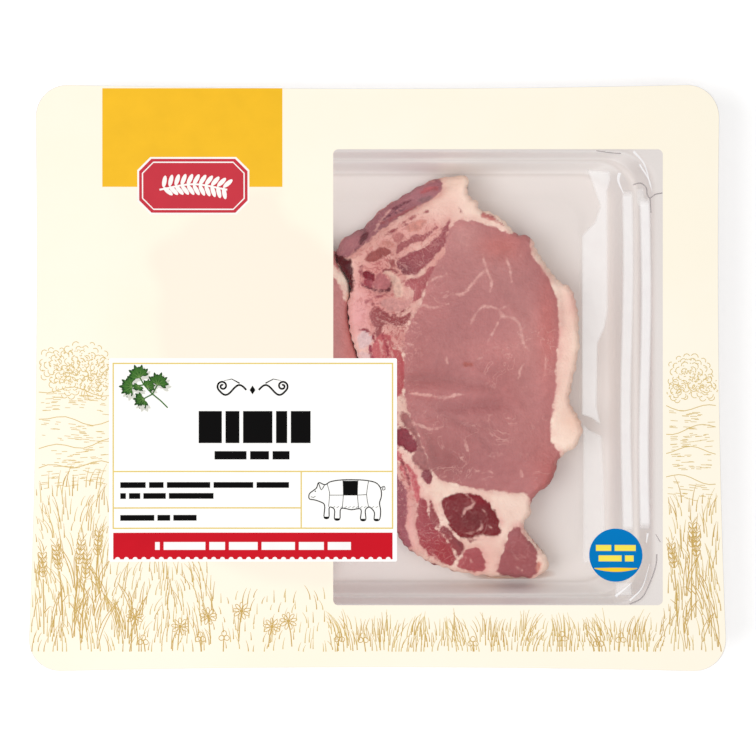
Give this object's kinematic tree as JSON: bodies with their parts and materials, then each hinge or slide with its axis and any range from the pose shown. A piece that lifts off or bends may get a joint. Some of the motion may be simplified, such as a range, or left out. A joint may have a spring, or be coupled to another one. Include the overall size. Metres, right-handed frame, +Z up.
{
  "type": "meat tray pack",
  "caption": "Shallow sealed food tray with a wide flange, a printed lid with a clear window and raw bone-in pork loin chops inside.",
  "frame": {"origin": "middle of the pack's outline, on the surface that the tray stands on", "axes": "+X to the right of the lid as it is read, along the pack's longer side, +Y to the lid's top edge, +Z up out of the lid"},
  "size_m": [0.2678, 0.2254, 0.0337],
  "materials": {
    "tray": "thin formed plastic",
    "film": "clear glossy film",
    "print": "printed film",
    "label": "coated paper",
    "seal": "coated paper",
    "lean": "raw lean meat",
    "dark_lean": "raw dark lean meat",
    "fat": "raw fat",
    "bone": "cut bone and marrow"
  },
  "bodies": {
    "root": {"tray": "tray", "lid_film": "film", "printed_layer": "print", "front_label": "label", "round_seal": "seal", "chop_right_loin": "lean", "chop_right_fat_cap": "fat", "chop_right_fillet_muscle": "dark_lean", "chop_right_flank_muscle": "lean", "chop_right_belly_muscle": "lean", "chop_right_tail_muscle": "lean", "chop_right_back_muscle": "lean", "chop_right_rib_muscle": "lean", "chop_right_spine_bone": "bone", "chop_right_rib_end_bone": "bone", "chop_right_seam_fat": "fat", "chop_left_loin": "lean", "chop_left_fat_cap": "fat", "chop_left_fillet_muscle": "dark_lean", "chop_left_flank_muscle": "lean", "chop_left_belly_muscle": "lean", "chop_left_tail_muscle": "lean", "chop_left_back_muscle": "lean", "chop_left_rib_muscle": "lean", "chop_left_spine_bone": "bone", "chop_left_rib_end_bone": "bone", "chop_left_seam_fat": "fat"}
  },
  "joints": []
}
